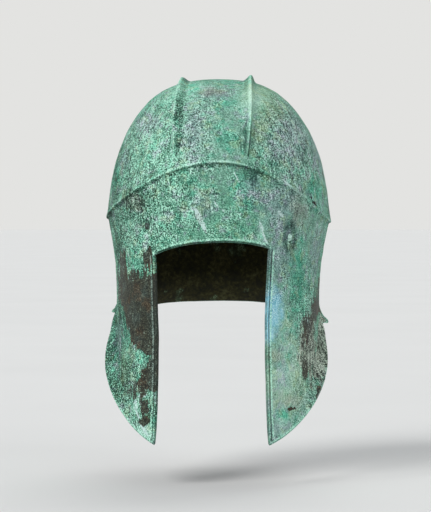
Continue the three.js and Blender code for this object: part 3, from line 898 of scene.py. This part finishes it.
def build_face(fine):
    """One face of the sheet, without thickness or relief, with the loop of its open edge.

    For that loop it also gives the place of each point, where a whole number is a corner, and the
    point inward of each.
    """
    sheet = SheetMesh()
    loop, where = add_dome(sheet, fine)
    under = add_lip(sheet, loop, where)
    side = side_runs(fine)
    ring, wall = add_wall(sheet, fine, side)
    sheet.zip_rows(np.append(under, under[0]), np.append(where, where[0] + 2 * math.pi), wall[0], ring)

    left, right = [add_lower_half(sheet, fine, side, left) for left in (True, False)]
    right[:, -1] = left[:, -1]
    lower = np.concatenate([right, left[:, -2::-1]], 1)[:, ::-1]
    count = len(side)
    upper = np.concatenate([wall[-1, -count:], wall[-1, 1:count]])
    sheet.quads(np.concatenate([upper[None], lower]))

    # LOWER_EDGE is the number of the third of these edges, counted from 0
    brow = slice(count - 1, len(ring) - count + 1)
    brow_row = wall[-1, brow]
    down = np.append(brow_row[-1], lower[:, 0])
    up = np.append(lower[::-1, -1], brow_row[0])
    edges = [brow_row, down, lower[-1], up]
    open_edge = np.concatenate([e[:-1] for e in edges])
    open_at = np.concatenate([k + np.linspace(0, 1, len(e))[:-1] for k, e in enumerate(edges)])
    edge_points = np.concatenate([brow_row, lower[:, 0], lower[:, -1], lower[-1]])
    next_to_edge = np.concatenate([wall[-2, brow], lower[:, 1], lower[:, -2], lower[-2]])
    inward = dict(zip(edge_points.tolist(), next_to_edge.tolist()))
    return sheet, open_edge, open_at, inward


def waves(points, sizes, seed):
    """Smooth unevenness: the sum of some waves of noise at each point."""
    total = np.zeros(len(points))
    x, y, z = WAVE_SHIFT
    for k, (length, depth) in enumerate(sizes):
        shift = Vector((seed * x, k * y, seed * z))
        total += depth * np.array([noise.noise(Vector(p) / length + shift) for p in points])
    return total


def patch_field(points, normals, patches):
    """1 at the middle of a patch, a half at its edge and 0 at twice that distance."""
    field = np.zeros(len(points))
    for side, places in patches.items():
        right, above, facing = np.array(SEEN_FROM[side], float)
        seen = smooth(share(normals @ facing, *SEEN_FADE))
        for across, up, half_width, half_height in places:
            gap = np.hypot((points @ right - across) / half_width, (points @ above - up) / half_height)
            field = np.maximum(field, np.maximum(0, 1 - gap / 2) * seen)
    return field


def band_field(points):
    """The same for the bare bands down the front."""
    x, y, z = points.T
    field = np.zeros(len(points))
    for band in BARE_BANDS:
        up, start, end = zip(*reversed(band))
        beside = np.minimum(x - np.interp(z, up, start), np.interp(z, up, end) - x)
        above = np.minimum(z - up[0], up[-1] - z)
        room = np.minimum(beside / BAND_SOFTNESS, above / BAND_END_SOFTNESS)
        field = np.maximum(field, np.clip(0.5 + room / 2, 0, 1))
    return field * (1 - smooth(share(y, *BAND_BACK)))


def helmet_mesh():
    outer, outer_edge, outer_at, inward = build_face(FINE)
    inner, inner_edge, inner_at, _ = build_face(COARSE)

    base = outer.all_points()
    normal = outer.normals()
    hammer = waves(base, HAMMER_WAVES, HAMMER_SEED)
    recess = sum(rivet.recess_field(base) for rivet in RIVETS.values())
    crust = waves(base, CRUST_WAVES, CRUST_SEED)
    lift = outer.value("raise_by") + hammer + crust - RECESS_DEPTH * recess
    outside = base + normal * lift[:, None]

    inner_base = inner.all_points()
    inner_normal = inner.normals()
    hollow = np.maximum(0, inner.value("crest") * RIDGE_HOLLOW_SHARE - RIDGE_HOLLOW_NARROW)
    inner_crust = waves(inner_base, CRUST_WAVES, INNER_CRUST_SEED) * INNER_CRUST_SHARE
    sink = waves(inner_base, HAMMER_WAVES, HAMMER_SEED) + inner_crust + hollow
    inside = inner_base + inner_normal * (sink - SHEET)[:, None]

    whole = SheetMesh()
    paint = {n: patch_field(outside, normal, patches) for n, patches in PATCHES.items()}
    paint["hollow"] = RECESS_RING_DARK * recess * (1 - recess) + recess * RECESS_DARK
    paint["bare"] = np.maximum(paint["bare"], band_field(outside))
    whole.add(outside, inside=0, **paint, **{n: outer.value(n) for n in FORM_VALUES})
    whole.faces += outer.faces
    first = whole.count
    whole.add(inside, inside=1)
    whole.faces += [[i + first for i in reversed(face)] for face in inner.faces]

    near = outside[outer_edge]
    far = (base + normal * (hammer - SHEET)[:, None])[outer_edge]
    back = base[[inward[int(i)] for i in outer_edge]]
    away = unit(base[outer_edge] - back)
    middle = (near + far) / 2
    radius = np.linalg.norm(near - far, axis=1, keepdims=True) / 2
    rows = [outer_edge]
    edge_paint = {n: value[outer_edge] for n, value in paint.items()}
    # Painted highlight on the rounding of the lower edge, painted shade on that of the face opening
    edge_light = np.where(outer_at // 1 == LOWER_EDGE, BORDER_EDGE_HIGHLIGHT, OPENING_EDGE_SHADE)
    for turn in ROUND_TURNS:
        bend = math.radians(turn)
        ring = middle + (near - far) / 2 * math.cos(bend) + away * radius * math.sin(bend) * ROUND_PROUD
        rows.append(whole.add(ring, inside=bend / math.pi, lines=edge_light, **edge_paint))
    closed = [np.append(row, row[0]) for row in rows]
    whole.quads(np.stack(closed)[:, ::-1][::-1])
    whole.zip_rows(closed[-1], np.append(outer_at, 4), np.append(inner_edge, inner_edge[0]) + first,
                   np.append(inner_at, 4))
    return whole


def make_piece(name, sheet, material, values=()):
    mesh = bpy.data.meshes.new(name)
    mesh.from_pydata((sheet.all_points() * MM).tolist(), [], sheet.faces)
    for value in values:
        layer = mesh.attributes.new(value, "FLOAT", "POINT")
        layer.data.foreach_set("value", sheet.value(value).astype(np.float32))
    mesh.shade_smooth()
    mesh.materials.append(material)
    piece = bpy.data.objects.new(name, mesh)
    bpy.context.scene.collection.objects.link(piece)
    return piece


class Value:
    """One output of a node, which can be used in sums."""

    def __init__(self, finish, socket):
        self.finish = finish
        self.socket = socket

    def sum(self, operation, first, second):
        return self.finish.node("ShaderNodeMath", {"operation": operation}, {0: first, 1: second})

    def __add__(self, other):
        return self.sum("ADD", self, other)

    __radd__ = __add__

    def __sub__(self, other):
        return self.sum("SUBTRACT", self, other)

    def __rsub__(self, other):
        return self.sum("SUBTRACT", other, self)

    def __mul__(self, other):
        return self.sum("MULTIPLY", self, other)

    __rmul__ = __mul__

    def __truediv__(self, other):
        return self.sum("DIVIDE", self, other)


class Nodes:
    """The nodes of a material or world, which all come from one method."""

    def __init__(self, owner):
        owner.use_nodes = True
        self.tree = owner.node_tree
        self.tree.nodes.clear()

    def node(self, kind, settings, inputs, output=0):
        node = self.tree.nodes.new(kind)
        for name, setting in settings.items():
            if name == "stops":
                self.set_stops(node.color_ramp, setting)
            else:
                setattr(node, name, setting)
        for name, value in inputs.items():
            if isinstance(value, Value):
                self.tree.links.new(value.socket, node.inputs[name])
            else:
                node.inputs[name].default_value = value
        return Value(self, node.outputs[output]) if node.outputs else None

    @staticmethod
    def set_stops(ramp, stops):
        while len(ramp.elements) < len(stops):
            ramp.elements.new(0.5)
        for element, (position, colour) in zip(ramp.elements, stops):
            element.position = position
            element.color = (*colour, 1)


class Finish(Nodes):
    """A material, with the patterns that it is made of."""

    def __init__(self, name):
        self.material = bpy.data.materials.new(name)
        super().__init__(self.material)
        place = self.node("ShaderNodeTexCoord", {}, {}, "Object")
        self.place = self.vector("SCALE", place, scale=1 / MM)

    def vector(self, operation, first, second=(0, 0, 0), scale=1.0, output=0):
        inputs = {0: first, 1: second, 3: scale}
        return self.node("ShaderNodeVectorMath", {"operation": operation}, inputs, output)

    def on_points(self, name):
        return self.node("ShaderNodeAttribute", {"attribute_name": name}, {}, "Fac")

    def cloud(self, size, detail=2, roughness=0.5, shift=0, stretch=(1, 1, 1)):
        """Smooth noise about 0, mostly between -0.25 and 0.25, with features of a size in millimetres."""
        place = self.vector("MULTIPLY", self.place, stretch)
        place = self.vector("ADD", place, tuple(shift * part for part in CLOUD_SHIFT))
        inputs = {"Vector": place, "Scale": 1 / size, "Detail": detail, "Roughness": roughness}
        return self.node("ShaderNodeTexNoise", {}, inputs) - 0.5

    def strokes(self):
        """Short strokes that run down from the crown all round, and fade out at its middle."""
        level = self.vector("MULTIPLY", self.place, (1, STROKE_SQUEEZE, 0))
        around = self.vector("SCALE", self.vector("NORMALIZE", level), scale=STROKE_RADIUS)
        down = self.vector("MULTIPLY", self.place, (0, 0, STROKE_STRETCH))
        place = self.vector("ADD", around, down)
        inputs = {"Vector": place, "Scale": 1 / STROKE_WIDTH, "Detail": 3.0, "Roughness": 0.6}
        away = self.rise(self.vector("LENGTH", level, output=1), *STROKE_FADE)
        return (self.node("ShaderNodeTexNoise", {}, inputs) - 0.5) * away

    def rise(self, value, low, high):
        """0 below low, 1 above high, and a smooth step between."""
        inputs = {"Value": value, "From Min": low, "From Max": high}
        return self.node("ShaderNodeMapRange", {"interpolation_type": "SMOOTHSTEP"}, inputs)

    def tones(self, value, stops):
        return self.node("ShaderNodeValToRGB", {"stops": stops}, {0: value})

    def blend(self, under, over, mask):
        """Lays one colour over another. A Mix node takes colours at 6 and 7 and gives them at 2."""
        settings = {"data_type": "RGBA", "clamp_factor": True}
        return self.node("ShaderNodeMix", settings, {0: mask, 6: under, 7: over}, 2)

    def finish(self, colour, roughness, metallic, height, specular=0.3):
        normal = self.node("ShaderNodeBump", {}, {"Height": height, "Distance": MM, "Strength": 1.0})
        inputs = {
            "Base Color": colour, "Roughness": roughness, "Metallic": metallic, "Normal": normal,
            "Specular IOR Level": specular,
        }
        surface = self.node("ShaderNodeBsdfPrincipled", {}, inputs)
        self.node("ShaderNodeOutputMaterial", {}, {"Surface": surface})
        return self.material


def colour(code):
    """A colour written as on a paint chart, turned into the linear values that nodes take."""
    parts = [int(code[i:i + 2], 16) / 255 for i in (0, 2, 4)]
    return [c / 12.92 if c <= 0.04045 else ((c + 0.055) / 1.055) ** 2.4 for c in parts]


def paints(places, *codes):
    """The stops of a ramp from dark to light."""
    return [(place, colour(code)) for place, code in zip(places, codes, strict=True)]


CRUST_STOPS = (0.1, 0.33, 0.5, 0.66, 0.88)
METAL_STOPS = (0.1, 0.38, 0.55, 0.72, 0.9)
GREEN_TONES = paints(CRUST_STOPS, "06241c", "2c5e4b", "5a967c", "8ac4ab", "baeed8")
DEEP_TONES = paints(CRUST_STOPS, "002c22", "166652", "3c987c", "68c2a4", "96eccc")
LILAC_TONES = paints(CRUST_STOPS, "162428", "485a5f", "74898d", "9eb2b4", "ccdedf")
LIME_TONES = paints(CRUST_STOPS, "182c16", "547252", "84a682", "aaccab", "ccebd0")
CHALK_TONES = paints(CRUST_STOPS, "14322a", "547a6c", "80a898", "a4cabc", "caece0")
ASH_TONES = paints(CRUST_STOPS, "14150f", "4c5146", "7d8577", "a6ad9d", "d0d6c6")
AZURE_TONES = paints(CRUST_STOPS, "184558", "4896ae", "80c0d2", "a4d6e2", "d5ecf0")
BARE_TONES = paints(METAL_STOPS, "0d0e0a", "262920", "414637", "5d6350", "8b9b86")
SLATE_TONES = paints(METAL_STOPS, "0b110f", "232e29", "3b4d46", "596d65", "8ea499")
RUST_TONES = paints((0.2, 0.5, 0.8), "1c130a", "4a3722", "776246")
# Tones of the inside: dark bronze, painted darker still for the shade inside the helmet
SHADED_INSIDE_TONES = paints((0.15, 0.42, 0.6, 0.8), "0b0b00", "1d1e02", "302e0b", "464728")
DARK_RIVET_TONES = paints((0.15, 0.5, 0.8), "141b18", "3a4a43", "68807a")
BACKDROP_TONES = paints((0.2, 0.8), "dcdcda", "e2e2e0")


def line_mask(finish, lines):
    """1 along some short lines drawn on the front of the helmet, which taper to both ends."""
    flat = finish.vector("MULTIPLY", finish.place, (1, 0, 1))
    ragged = finish.cloud(LINE_RAGGEDNESS, shift=71)
    mask = None
    for (x1, z1), (x2, z2), half_width in lines:
        start = Vector((x1, 0, z1))
        along = Vector((x2, 0, z2)) - start
        from_start = finish.vector("SUBTRACT", flat, tuple(start))
        dot = finish.vector("DOT_PRODUCT", from_start, tuple(along / along.length_squared), output=1)
        part = finish.node("ShaderNodeClamp", {}, {"Value": dot})
        nearest = finish.vector("SCALE", tuple(along), scale=part)
        gap = finish.vector("DISTANCE", from_start, nearest, output=1)
        taper = LINE_END_SHARE + part * (1 - part) * LINE_SWELL
        this = 1 - finish.rise((gap + ragged * 2) / taper, half_width * 0.6, half_width * 1.4)
        mask = this if mask is None else mask.sum("MAXIMUM", mask, this)
    depth = finish.node("ShaderNodeSeparateXYZ", {}, {0: finish.place}, "Y")
    return mask * (1 - finish.rise(depth, *LINE_BACK))


def patina():
    """Green crust in many shades over dark bronze, with painted highlights and shade along the ridges, the
    lip and the edges, and a dark bare inside painted darker still for the shade in it.
    """
    f = Finish("patina")

    # Noise
    noise_of = {name: f.cloud(*noise_sizes) for name, noise_sizes in PATINA_NOISE.items()}
    fine, grain, clump, blotch, ragged, shade, mauve, ochre = noise_of.values()
    drips = f.cloud(4.5, detail=3, roughness=0.55, shift=47, stretch=(1, 1, 0.3))
    strokes = noise_of["strokes"] = f.strokes()

    # What the points of the mesh say
    lines, lip, shelter = [f.on_points(name) for name in ("lines", "lip", "shelter")]
    coarse, chalk, pale = [f.on_points(name) for name in ("coarse", "chalk", "pale")]
    # Paler along the tops of the ridges
    ridge_tops = f.rise(f.on_points("crest"), 3.0, 5.0)

    # Light and dark of the crust, with painted highlights and shade that follow the form
    rough = f.rise(blotch + ragged * 0.6 + coarse * 0.18 - pale * 0.2 - chalk * 0.09, -0.1, 0.12)
    tone = 0.5
    for name, (always, where_rough, where_coarse) in CRUST_WEIGHTS.items():
        tone = tone + noise_of[name] * (always + rough * where_rough + coarse * where_coarse)
    mottled = f.rise(clump + grain * 0.8, -0.14, 0.12)
    dark = f.on_points("dark") * (0.3 + mottled * 0.8) * 0.42
    hollow = f.on_points("hollow") * (0.25 + f.rise(clump + grain, -0.1, 0.14) * 0.6) * 0.36
    # Paler in pale patches and darker in dark patches, which include a painted highlight and a painted
    # shadow, and darker round the rivets
    tone = tone - rough * 0.04 + pale * 0.16 - dark - hollow
    ash = f.rise(f.on_points("ash") + ragged * 0.9, 0.3, 0.55)
    tone = tone - ash * f.rise(strokes + fine * 0.9 + grain * 0.5, -0.02, -0.16) * 0.3
    # Painted highlight along the lip, paler ridge tops, painted shade under the lip, and painted shade and
    # highlight across the ridge flanks
    tone = tone + lip * 0.24 + ridge_tops * 0.14 - shelter * 0.22 - f.on_points("flank") * (1 - pale) * 0.3

    def patch(name, hardness=0.12, looseness=1.0):
        field = f.on_points(name) + ragged * looseness
        return f.rise(field, 0.5 - hardness, 0.5 + hardness)

    # Shades of the crust, laid over each other
    deep = patch("deep", 0.35) * 0.7 + f.rise(shade * 0.5 - mauve, 0.03, 0.2) * 0.6
    lilac = patch("lilac", 0.4, 1.3) * 0.6 + f.rise(mauve + blotch * 0.3, 0.04, 0.18) * 0.65
    lime = patch("lime", 0.4) * 0.5 + f.rise(ochre + shade * 0.4, 0.04, 0.18) * 0.55
    tan = patch("tan", 0.35) * 0.5
    crust = f.tones(tone, GREEN_TONES)
    for tones, mask in [
        (CHALK_TONES, f.rise(chalk, 0.1, 0.9) * 0.7),
        (DEEP_TONES, deep),
        (LILAC_TONES, lilac),
        (LIME_TONES, lime),
        (ASH_TONES, tan + ash * 0.75),
    ]:
        crust = f.blend(crust, f.tones(tone, tones), mask)
    crust = f.blend(crust, f.tones(0.2 + tone * 0.75, AZURE_TONES), patch("azure", 0.25) * 0.9)

    # Scratches and slits
    rubbed = line_mask(f, SCRATCHES) * f.rise(grain + fine, -0.25, 0)
    crust = f.blend(crust, (*colour("c6dedb"), 1), rubbed * 0.8)
    slit = line_mask(f, SLITS)

    # Bare bronze where the crust has gone, with flecks of crust left on it
    bare = f.rise(f.on_points("bare") + ragged + drips * 1.1 + grain * 0.6, 0.46, 0.54)
    flecks = f.rise(grain + fine * 0.6 + clump * 0.4 + f.rise(coarse, 0.35, 0.9) * 0.19, 0.26, 0.31)
    bare = bare * (1 - flecks * 0.85)
    metal_tone = 0.4 + (grain * 0.7 + fine * 1.8) * (0.8 + coarse) + blotch * 0.4
    bluish = f.rise(blotch, -0.1, 0.14) * 0.7
    metal = f.blend(f.tones(metal_tone, BARE_TONES), f.tones(metal_tone, SLATE_TONES), bluish)
    metal = f.blend(metal, f.tones(metal_tone, RUST_TONES), f.rise(shade + grain * 0.4, 0, 0.15) * 0.6)
    skin = f.blend(crust, metal, bare)

    # Painted highlights and shadows along the edges
    broken = f.rise(grain + fine * 0.5, -0.16, 0.02)
    edge_highlight = f.blend(f.tones(tone + 0.26, GREEN_TONES), f.tones(metal_tone + 0.4, SLATE_TONES), bare)
    skin = f.blend(skin, edge_highlight, f.rise(lines, 0.15, 0.8) * broken * 0.85)
    skin = f.blend(skin, (*colour("14201b"), 1), f.rise(0 - lines, 0.15, 0.8) * (0.3 + broken * 0.65))
    # Dark slits in the crust
    skin = f.blend(skin, (*colour("0b0d0b"), 1), slit)

    # Dark bare inside, painted darker still for the shade inside the helmet, with a few green spots
    inside = f.rise(f.on_points("inside"), 0.55, 0.95)
    shaded_inside = f.tones(0.5 + grain * 1.3 + blotch * 0.9, SHADED_INSIDE_TONES)
    green_spots = f.rise(shade + ragged * 0.6, 0.12, 0.24)
    shaded_inside = f.blend(shaded_inside, f.tones(tone - 0.16, LIME_TONES), green_spots * 0.35)
    skin = f.blend(skin, shaded_inside, inside)

    height = (fine * 0.5 + grain * 0.5) * (0.6 + rough) + strokes * 0.3 - bare * 0.4 - slit * 0.8
    roughness = 0.82 - bare * 0.22 + fine * 0.3
    return f.finish(skin, roughness, bare * 0.15, height * 0.7)


def rivet_finish(name, tones, lift):
    """The corroded head of a rivet, with a paler rim."""
    f = Finish(name)
    fine = f.cloud(0.7, detail=3, roughness=0.65, shift=5)
    grain = f.cloud(1.9, detail=3, shift=9)
    rim = f.on_points("rim")
    tone = lift + fine * 1.1 + grain * 1.2 + rim * 0.16
    return f.finish(f.tones(tone, tones), 0.7 + grain * 0.4, 0.0, fine * 0.3 + grain * 0.3)


def backdrop_finish():
    f = Finish("pale_backdrop")
    tone = 0.5 + f.cloud(BACKDROP_CLOUD) * 0.6
    unevenness = f.cloud(BACKDROP_GRAIN, detail=3) * 0.02
    return f.finish(f.tones(tone, BACKDROP_TONES), 0.9, 0.0, unevenness, specular=0.1)


class Rivet:
    """A rivet set square to the wall at a place given across the front and down from the crown.

    The worn recess round its head is given as (half width, reach upwards, reach downwards).
    """

    def __init__(self, across, depth, head_radius, head_height, tall, recess):
        left = across > 0
        low, high = 0.0, math.pi / 2
        for _ in range(HALVINGS):
            middle = (low + high) / 2
            short = shell_point(np.array([middle]), np.array([depth]))[0][0, 0] < abs(across)
            low, high = (middle, high) if short else (low, middle)
        around = np.array([low, low + ANGLE_STEP, low]) * (1 if left else -1)
        point, beside, below = shell_point(around, np.array([depth, depth, depth + 1]))[0]
        outward = np.cross(beside - point, below - point)
        self.outward = outward / np.linalg.norm(outward)
        self.outward *= np.sign(self.outward @ (point * [1, 1, 0]))
        self.point = point
        self.head_radius = head_radius
        self.head_height = head_height
        self.tall = tall
        self.recess = recess

    def recess_field(self, points):
        """1 in the middle of the worn hollow round the head, fading out at its edge."""
        half_width, up, down = self.recess
        from_head = points - self.point
        tall = np.where(from_head[:, 2] > 0, up, down)
        level = np.hypot(from_head[:, 0], from_head[:, 1])
        return 1 - smooth(share(np.hypot(level / half_width, from_head[:, 2] / tall), RECESS_FLAT_SHARE, 1))

    def mesh(self):
        """Head, shank and tail as one turned form, a little out of true."""
        head, radius = self.head_height, self.head_radius
        outline = [(r * radius, z * head) for r, z in RIVET_HEAD_PROFILE]
        outline += [(r * radius, -z) for r, z in RIVET_HEAD_UNDERSIDE]
        outline += [
            (RIVET_SHANK_RADIUS, -1), (RIVET_SHANK_RADIUS, -SHEET), (RIVET_TAIL_RADIUS, -SHEET),
            (RIVET_TAIL_RADIUS, -SHEET - RIVET_TAIL_HEIGHT * RIVET_TAIL_SHOULDER),
            (RIVET_END_RADIUS, -SHEET - RIVET_TAIL_HEIGHT),
        ]
        across = np.cross([0, 0, 1], self.outward)
        across /= np.linalg.norm(across)
        up = np.cross(self.outward, across)
        turn = np.linspace(0, 2 * math.pi, RIVET_SIDES, endpoint=False)
        form = SheetMesh()
        rows = []
        for radius, height in outline:
            ring = self.point + self.outward * (height - RIVET_SINK)
            tall = self.tall if height > RIVET_SINK - 1 else 1
            ring = ring + radius * (across * np.cos(turn)[:, None] + up * tall * np.sin(turn)[:, None])
            bumps = waves(ring, RIVET_WAVES, RIVET_SEED)[:, None]
            ring = ring + self.outward * bumps + (ring - self.point) * bumps * RIVET_WANDER
            rows.append(form.add(ring, rim=float(RIVET_RIM_SHARE * self.head_radius < radius)))
        closed = np.stack([np.append(row, row[0]) for row in rows])
        form.quads(closed)
        form.faces.append(rows[0].tolist())
        form.faces.append(rows[-1][::-1].tolist())
        return form


RIVETS = {
    "temple_rivet_left": Rivet(
        across=61, depth=128.3, head_radius=2.3, head_height=1.3, tall=1.3, recess=(9, 17, 16)),
    "temple_rivet_right": Rivet(
        across=-51.5, depth=119.3, head_radius=2.4, head_height=0.4, tall=1.2, recess=(4.6, 6.5, 6)),
}


def view_from(azimuth, elevation, distance, lens, aim):
    """A camera on a line towards the aim, as the photograph was taken."""
    turn, tilt = math.radians(azimuth), math.radians(elevation)
    back = Vector((math.sin(turn) * math.cos(tilt), -math.cos(turn) * math.cos(tilt), math.sin(tilt)))
    camera = bpy.data.objects.new("camera", bpy.data.cameras.new("camera"))
    camera.location = Vector(aim) + back * distance
    camera.rotation_euler = back.to_track_quat("Z", "Y").to_euler()
    camera.data.lens = lens
    bpy.context.scene.collection.objects.link(camera)
    bpy.context.scene.camera = camera


def soft_lamp(name, towards, angle, strength):
    """A wide, even lamp far away, shining from a direction."""
    lamp = bpy.data.objects.new(name, bpy.data.lights.new(name, "SUN"))
    lamp.data.angle = math.radians(angle)
    lamp.data.energy = strength
    lamp.rotation_euler = Vector(towards).to_track_quat("Z", "Y").to_euler()
    bpy.context.scene.collection.objects.link(lamp)


def studio():
    turn = np.linspace(0, 2 * math.pi, FLOOR_SIDES + 1)
    ring = np.stack([np.cos(turn), np.sin(turn), 0 * turn], -1)
    sweep = SheetMesh()
    rows = [sweep.add(ring * radius + [0, 0, FLOOR]) for radius in FLOOR_RADII]
    sweep.quads(np.stack(rows))
    sweep.faces.append(rows[0][:-1].tolist())
    piece = make_piece("floor", sweep, backdrop_finish())
    for lamp in LAMPS:
        soft_lamp(*lamp)
    world = bpy.data.worlds.new("studio")
    n = Nodes(world)
    light = n.node("ShaderNodeBackground", {}, {"Color": ROUND_LIGHT, "Strength": ROUND_LIGHT_STRENGTH})
    seen = n.node("ShaderNodeBackground", {}, {"Color": (*colour("e3e3e1"), 1), "Strength": 1.0})
    rays = "ShaderNodeLightPath"
    looked_at = n.node(rays, {}, {}, "Is Camera Ray") + n.node(rays, {}, {}, "Is Glossy Ray")
    looked_at = looked_at + n.node(rays, {}, {}, "Is Transmission Ray")
    mixed = n.node("ShaderNodeMixShader", {}, {0: looked_at, 1: light, 2: seen})
    n.node("ShaderNodeOutputWorld", {}, {"Surface": mixed})
    bpy.context.scene.world = world
    bpy.context.scene.view_settings.view_transform = "Standard"


view_from(azimuth=3.4, elevation=1.0, distance=2.0, lens=171.5, aim=(-0.0027, 0, -0.1425))
studio()

shell = make_piece("hammered_shell", helmet_mesh(), patina(), (*FORM_VALUES, "hollow", "inside", *PATCHES))
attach(shell, "root")
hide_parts("helmet_shell")

RIVET_FINISHES = {
    "temple_rivet_left": ("pale_rivet", CHALK_TONES, 0.66),
    "temple_rivet_right": ("dark_rivet", DARK_RIVET_TONES, 0.4),
}
for node, rivet in RIVETS.items():
    slot, tones, lift = RIVET_FINISHES[node]
    piece = make_piece(node + "_worn", rivet.mesh(), rivet_finish(slot, tones, lift), ("rim",))
    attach(piece, "root")
    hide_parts(node)
